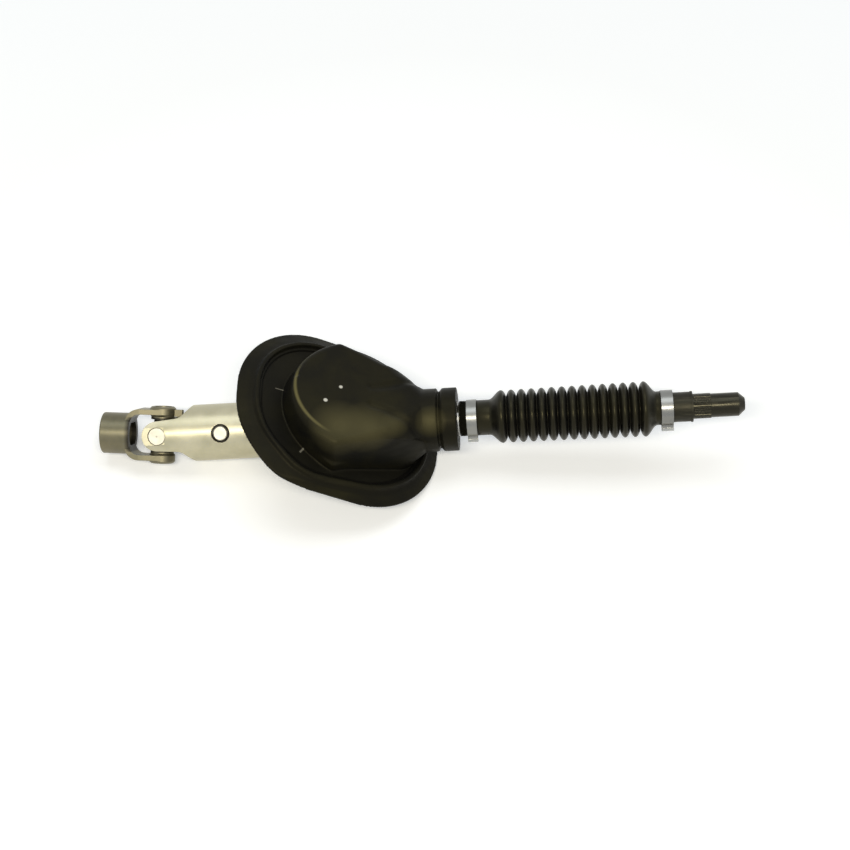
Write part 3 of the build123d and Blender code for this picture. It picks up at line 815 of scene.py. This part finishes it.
# The hood's roof in millimetres: stations and offsets across, with each dent's size third
VALLEY = ((182.0, -9.0), (193.0, -12.0), (205.0, -17.0), (213.0, -22.0), (221.0, -28.0))
VALLEY_WIDTH = 3.6
SHOULDER = ((194.0, -32.0), (205.0, -33.0), (217.0, -36.0), (227.0, -41.0))
SHOULDER_WIDTH = 4.0
DENTS = ((122.5, 12.3, 2.0), (163.0, -54.0, 2.2), (205.0, -53.0, 2.2))
DENT_DEPTH = 1.2
ROOF_HEIGHT = 14.0
ROOF_FACING = 0.2

# The recess in millimetres: down the seal's slope, towards the near side, and up from the brim
RECESS_MIDDLE = -34.0
RECESS_REACH = 38.0
RECESS_ACROSS = (48.0, 61.0, 67.0, 77.0)
RECESS_TOP = (12.5, 15.0)


def vertex_rows(mesh, field):
    """The mesh's points or normals, a row for each vertex."""
    rows = numpy.empty(len(mesh.vertices) * 3)
    mesh.vertices.foreach_get(field, rows)
    return rows.reshape(-1, 3)


def place_points(mesh, points):
    """Gives the mesh's vertices new places."""
    mesh.vertices.foreach_set("co", points.ravel())
    mesh.update()


def reach_of_path(places, path):
    """How far each place, as a station and an offset across, lies from a path of such points."""
    least = numpy.full(len(places), numpy.inf)
    for start, finish in zip(path, path[1:]):
        start = numpy.array(start)
        line = numpy.array(finish) - start
        share = numpy.clip((places - start) @ line / (line @ line), 0.0, 1.0)
        least = numpy.minimum(least, numpy.linalg.norm(places - start - share[:, None] * line, axis=1))
    return least


def mould_roof(mesh, valley, shoulder):
    """Presses soft valleys and shoulders into the hood's roof, the same on both sides, and its dents."""
    points = vertex_rows(mesh, "co")
    normals = vertex_rows(mesh, "normal")
    off = points - numpy.array(JOINT_CENTRE)
    station = off @ numpy.array(SHAFT_LINE) / MM
    across = off[:, 1] / MM
    height = (points - numpy.array(SEAL_PLACE.translation)) @ numpy.array(FLANGE_OUT) / MM
    facing = normals @ numpy.array(UP_LINE)
    roof = (height > ROOF_HEIGHT) & (facing > ROOF_FACING)
    folded = numpy.stack([station, -numpy.abs(across)], axis=1)
    push = shoulder * numpy.exp(-((reach_of_path(folded, SHOULDER) / SHOULDER_WIDTH) ** 2))
    push -= valley * numpy.exp(-((reach_of_path(folded, VALLEY) / VALLEY_WIDTH) ** 2))
    for dent_station, dent_across, size in DENTS:
        gap = numpy.hypot(station - dent_station, across - dent_across)
        push -= DENT_DEPTH * MM * numpy.exp(-((gap / size) ** 2))
    points += normals * (push * roof)[:, None]
    place_points(mesh, points)


def widen_recess(mesh, widening):
    """Carries the ridge round the recess outwards on the near side, where the moulding bulges."""
    points = vertex_rows(mesh, "co")
    off = (points - numpy.array(SEAL_PLACE.translation)) / MM
    down = off @ numpy.array(FLANGE_LINE)
    near = -off[:, 1]
    height = off @ numpy.array(FLANGE_OUT)
    across = numpy.interp(near, RECESS_ACROSS, (0.0, 1.0, 1.0, 0.0))
    across = across * across * (3.0 - 2.0 * across)
    lengthwise = numpy.exp(-(((down - RECESS_MIDDLE) / RECESS_REACH) ** 2))
    low = numpy.interp(height, RECESS_TOP, (1.0, 0.0))
    points[:, 1] -= widening * across * lengthwise * low
    place_points(mesh, points)


class SHAFT_OT_seal(bpy.types.Operator):
    """Make the moulded bulkhead seal"""

    bl_idname = "steering_shaft.seal"
    bl_label = "Bulkhead seal"

    def execute(self, context):
        sizes = settings("shaft_seal")
        colours = settings("shaft_colours")
        piece = merged_copy("dash_seal", "moulded_seal_core")
        grain = piece.modifiers.new("Grain", "REMESH")
        grain.mode = "VOXEL"
        grain.voxel_size = sizes.softness
        ease = piece.modifiers.new("Ease", "SMOOTH")
        ease.factor = 0.5
        ease.iterations = sizes.smoothing
        piece = settle(piece, "moulded_seal")
        mould_roof(piece.data, sizes.valley, sizes.shoulder)
        widen_recess(piece.data, sizes.widening)
        thin = piece.modifiers.new("Thin", "DECIMATE")
        thin.ratio = sizes.kept
        piece = settle(piece, "moulded_seal")
        shade_smooth(piece.data)
        black, bloom = colours.rubber, colours.rubber_bloom
        rubber = rubber_finish(
            "seal_rubber_finish", black, bloom, roughness=0.46, bloom_share=0.9, marks=seal_marks
        )
        piece.data.materials.clear()
        piece.data.materials.append(rubber)
        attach(piece, "seal")
        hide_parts("dash_seal")
        wear(["seal_bearing"], nylon_finish("bearing_nylon", lightness=0.2))
        return {"FINISHED"}


# Metal pieces


# The fork's zinc is browner and darker than the tube's
FORK_LIGHT_SHARES = (0.36, 0.34, 0.30)
FORK_DARK_SHARES = (0.30, 0.30, 0.28)
CROSS_LIGHT = (0.36, 0.34, 0.26)
CROSS_DARK = (0.20, 0.18, 0.13)
NEEDLE_STEEL = (0.6, 0.6, 0.58)
SLEEVE_LIGHT = (0.5, 0.5, 0.46)
SLEEVE_DARK = (0.36, 0.35, 0.3)
BAR_LIGHT = (0.42, 0.41, 0.38)
BAR_DARK = (0.28, 0.27, 0.24)
CLAMP_LIGHT = (0.27, 0.27, 0.25)
CLAMP_DARK = (0.19, 0.19, 0.18)
BUSH_SHARE = 0.8
CUP_RIM = 7.6 * MM
LIP_EDGE = 0.2 * MM


class SHAFT_OT_joint(bpy.types.Operator):
    """Finish the yokes, the cross, the cups, the isolator and its pin"""

    bl_idname = "steering_shaft.joint"
    bl_label = "Universal joint and tube"

    def execute(self, context):
        colours = settings("shaft_colours")
        light, dark, steel = colours.zinc_light, colours.zinc_dark, colours.bare_steel
        tube = zinc_finish(
            "tube_zinc", light, dark, grain_scale=420.0, roughness=0.34, throat_shade=0.9, arms=ARM_LINE
        )
        wear(["tube_yoke"], tube)
        fork_light = scaled(light, *FORK_LIGHT_SHARES)
        fork_dark = scaled(dark, *FORK_DARK_SHARES)
        fork = zinc_finish(
            "fork_zinc", fork_light, fork_dark, grain_scale=520.0, roughness=0.38, throat_shade=0.9, arms=FORK_LINE
        )
        wear(["upper_yoke"], fork)
        arm_cups = turned_finish("arm_cup_steel", steel, ARM_LINE, roughness=0.30, rim=CUP_RIM)
        wear(["tube_cups"], arm_cups)
        fork_cups = turned_finish("fork_cup_steel", steel, FORK_LINE, roughness=0.30, rim=CUP_RIM)
        wear(["upper_cups"], fork_cups)
        low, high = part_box("safety_pin")
        pin_centre = (Vector(low) + Vector(high)) / 2
        pin = turned_finish("pin_bright", steel, ARM_LINE, roughness=0.34, centre=pin_centre)
        wear(["safety_pin"], pin)
        cross = zinc_finish("cross_steel", CROSS_LIGHT, CROSS_DARK, grain_scale=700.0, roughness=0.38)
        wear(["cross_spider"], cross)
        needles = turned_finish("needle_steel", NEEDLE_STEEL, SHAFT_LINE, roughness=0.25)
        wear(["tube_needles", "upper_needles", "bearing_rings"], needles)
        sleeves = zinc_finish("sleeve_steel", SLEEVE_LIGHT, SLEEVE_DARK, grain_scale=600.0, roughness=0.45)
        wear(["isolator_inner_sleeve", "isolator_outer_sleeve"], sleeves)
        black, bloom = colours.rubber, colours.rubber_bloom
        lips = rubber_finish("cup_lip_rubber", black, bloom, roughness=0.5, bloom_share=0.4, edge=LIP_EDGE)
        wear(["trunnion_seals", "isolator_rubber"], lips)
        return {"FINISHED"}


class SHAFT_OT_shafts(bpy.types.Operator):
    """Finish the bar, the slider tube, the splined shaft and the bush"""

    bl_idname = "steering_shaft.shafts"
    bl_label = "Sliding shafts"

    def execute(self, context):
        colours = settings("shaft_colours")
        bar = zinc_finish("bar_steel", BAR_LIGHT, BAR_DARK, grain_scale=600.0, roughness=0.42)
        wear(["shaft_bar"], bar)
        oxide = oxide_finish("oiled_oxide", colours.oxide, roughness=0.21)
        wear(["slider_tube", "lower_shaft"], oxide)
        bush = oxide_finish("bush_oxide", scaled(colours.oxide, BUSH_SHARE), roughness=0.42)
        wear(["lower_bush"], bush)
        wear(["spline_sleeve"], nylon_finish("sleeve_nylon"))
        return {"FINISHED"}


class SHAFT_OT_clamps(bpy.types.Operator):
    """Finish the two ear clamps"""

    bl_idname = "steering_shaft.clamps"
    bl_label = "Ear clamps"

    def execute(self, context):
        band = zinc_finish("clamp_zinc", CLAMP_LIGHT, CLAMP_DARK, grain_scale=300.0, roughness=0.28)
        wear(["left_clamp", "right_clamp"], band)
        return {"FINISHED"}


# Stage


WARM = (1.0, 0.94, 0.80)
COOL = (0.90, 0.95, 1.0)
SKY = (0.96, 0.98, 1.0)
FLOOR_GLOW = (0.88, 0.94, 1.0)
GLOW_REACH = (0.5, 2.5)
GLOW_STRENGTH = (0.25, 0.95)
SKY_LIGHT = 0.22
SENSOR_WIDTH = 36.0
# Each lamp's name, power, size, place from the target, and colour
LAMPS = (
    ("key_lamp", 26.0, (1.4, 0.26), (-0.1, -1.1, 1.6), WARM),
    ("top_lamp", 6.5, (1.3, 0.7), (0.0, 0.3, 1.25), COOL),
)


def area_lamp(name, power, size, at, target, colour):
    """A soft oblong lamp that looks at a point."""
    lamp = bpy.data.lights.new(name, "AREA")
    lamp.energy = power
    lamp.shape = "RECTANGLE"
    lamp.size, lamp.size_y = size
    lamp.color = colour
    stand = bpy.data.objects.new(name, lamp)
    stand.location = at
    stand.rotation_euler = (target - at).to_track_quat("-Z", "Y").to_euler()
    bpy.context.scene.collection.objects.link(stand)


def seen_rays(tree):
    """1 for camera, glossy and transmission rays, else 0."""
    path = add_node(tree, "ShaderNodeLightPath").outputs
    first = maths(tree, "MAXIMUM", path["Is Camera Ray"], path["Is Glossy Ray"])
    return maths(tree, "MAXIMUM", first, path["Is Transmission Ray"])


class SHAFT_OT_stage(bpy.types.Operator):
    """Set the floor, the soft lamps and the camera"""

    bl_idname = "steering_shaft.stage"
    bl_label = "Studio stage"

    def execute(self, context):
        sizes = settings("shaft_stage")
        colours = settings("shaft_colours")
        scene = context.scene
        half = sizes.floor_side / 2
        mesh = bpy.data.meshes.new("studio_floor")
        corners = [(-half, -half, 0), (half, -half, 0), (half, half, 0), (-half, half, 0)]
        mesh.from_pydata(corners, [], [(0, 1, 2, 3)])
        floor = link_object("studio_floor", mesh)
        material = bpy.data.materials.new("studio_floor")
        material.use_nodes = True
        tree = material.node_tree
        tree.nodes.clear()
        matt = add_node(tree, "ShaderNodeBsdfDiffuse", {"Color": (*colours.floor, 1.0)}).outputs[0]
        reach = distance_from(tree, surface_place(tree), (0.0, 0.0, 0.0))
        far_glow = between(tree, reach, *GLOW_REACH, *GLOW_STRENGTH)
        lift = maths(tree, "MULTIPLY", seen_rays(tree), far_glow)
        glow_inputs = {"Color": (*FLOOR_GLOW, 1.0), "Strength": lift}
        glow = add_node(tree, "ShaderNodeEmission", glow_inputs).outputs[0]
        both = add_node(tree, "ShaderNodeAddShader", {0: matt, 1: glow}).outputs[0]
        add_node(tree, "ShaderNodeOutputMaterial", {"Surface": both})
        mesh.materials.append(material)

        world = bpy.data.worlds.new("studio_world")
        world.use_nodes = True
        scene.world = world
        tree = world.node_tree
        tree.nodes.clear()
        seen = seen_rays(tree)
        strength = maths(tree, "ADD", maths(tree, "MULTIPLY", seen, 1.0 - SKY_LIGHT), SKY_LIGHT)
        sky_inputs = {"Color": (*SKY, 1.0), "Strength": strength}
        sky = add_node(tree, "ShaderNodeBackground", sky_inputs).outputs[0]
        add_node(tree, "ShaderNodeOutputWorld", {"Surface": sky})

        target = shaft_point(sizes.target)
        for name, power, size, off, colour in LAMPS:
            area_lamp(name, power, size, target + Vector(off), target, colour)

        turn = Matrix.Rotation(sizes.turn, 4, "Z")
        out = turn @ Vector((0.0, -math.cos(sizes.elevation), math.sin(sizes.elevation)))
        lens = bpy.data.cameras.new("photo_camera")
        lens.sensor_width = SENSOR_WIDTH
        lens.lens = lens.sensor_width * sizes.distance / sizes.scale / sizes.frame_pixels
        lens.shift_y = -sizes.drop_pixels / sizes.frame_pixels
        camera = bpy.data.objects.new("photo_camera", lens)
        camera.location = target + out * sizes.distance
        camera.rotation_euler = out.to_track_quat("Z", "Y").to_euler()
        scene.collection.objects.link(camera)
        scene.camera = camera
        scene.view_settings.view_transform = "Standard"
        return {"FINISHED"}


class SHAFT_PT_panel(bpy.types.Panel):
    """The steering shaft's pieces"""

    bl_idname = "SHAFT_PT_panel"
    bl_label = "Steering Shaft"
    bl_space_type = "VIEW_3D"
    bl_region_type = "UI"
    bl_category = "Steering Shaft"

    def draw(self, context):
        for piece_operator in OPERATORS:
            self.layout.operator(piece_operator.bl_idname)


OPERATORS = (
    SHAFT_OT_joint,
    SHAFT_OT_shafts,
    SHAFT_OT_seal,
    SHAFT_OT_bellows,
    SHAFT_OT_clamps,
    SHAFT_OT_stage,
)


def register():
    for group in (*SETTINGS.values(), *OPERATORS, SHAFT_PT_panel):
        bpy.utils.register_class(group)
    for name, group in SETTINGS.items():
        setattr(bpy.types.Scene, name, bpy.props.PointerProperty(type=group))


def unregister():
    for name in SETTINGS:
        delattr(bpy.types.Scene, name)
    for group in reversed((*SETTINGS.values(), *OPERATORS, SHAFT_PT_panel)):
        bpy.utils.unregister_class(group)


def main():
    register()
    bpy.ops.steering_shaft.joint()
    bpy.ops.steering_shaft.shafts()
    bpy.ops.steering_shaft.seal()
    bpy.ops.steering_shaft.bellows()
    bpy.ops.steering_shaft.clamps()
    bpy.ops.steering_shaft.stage()


if __name__ == "__main__":
    main()
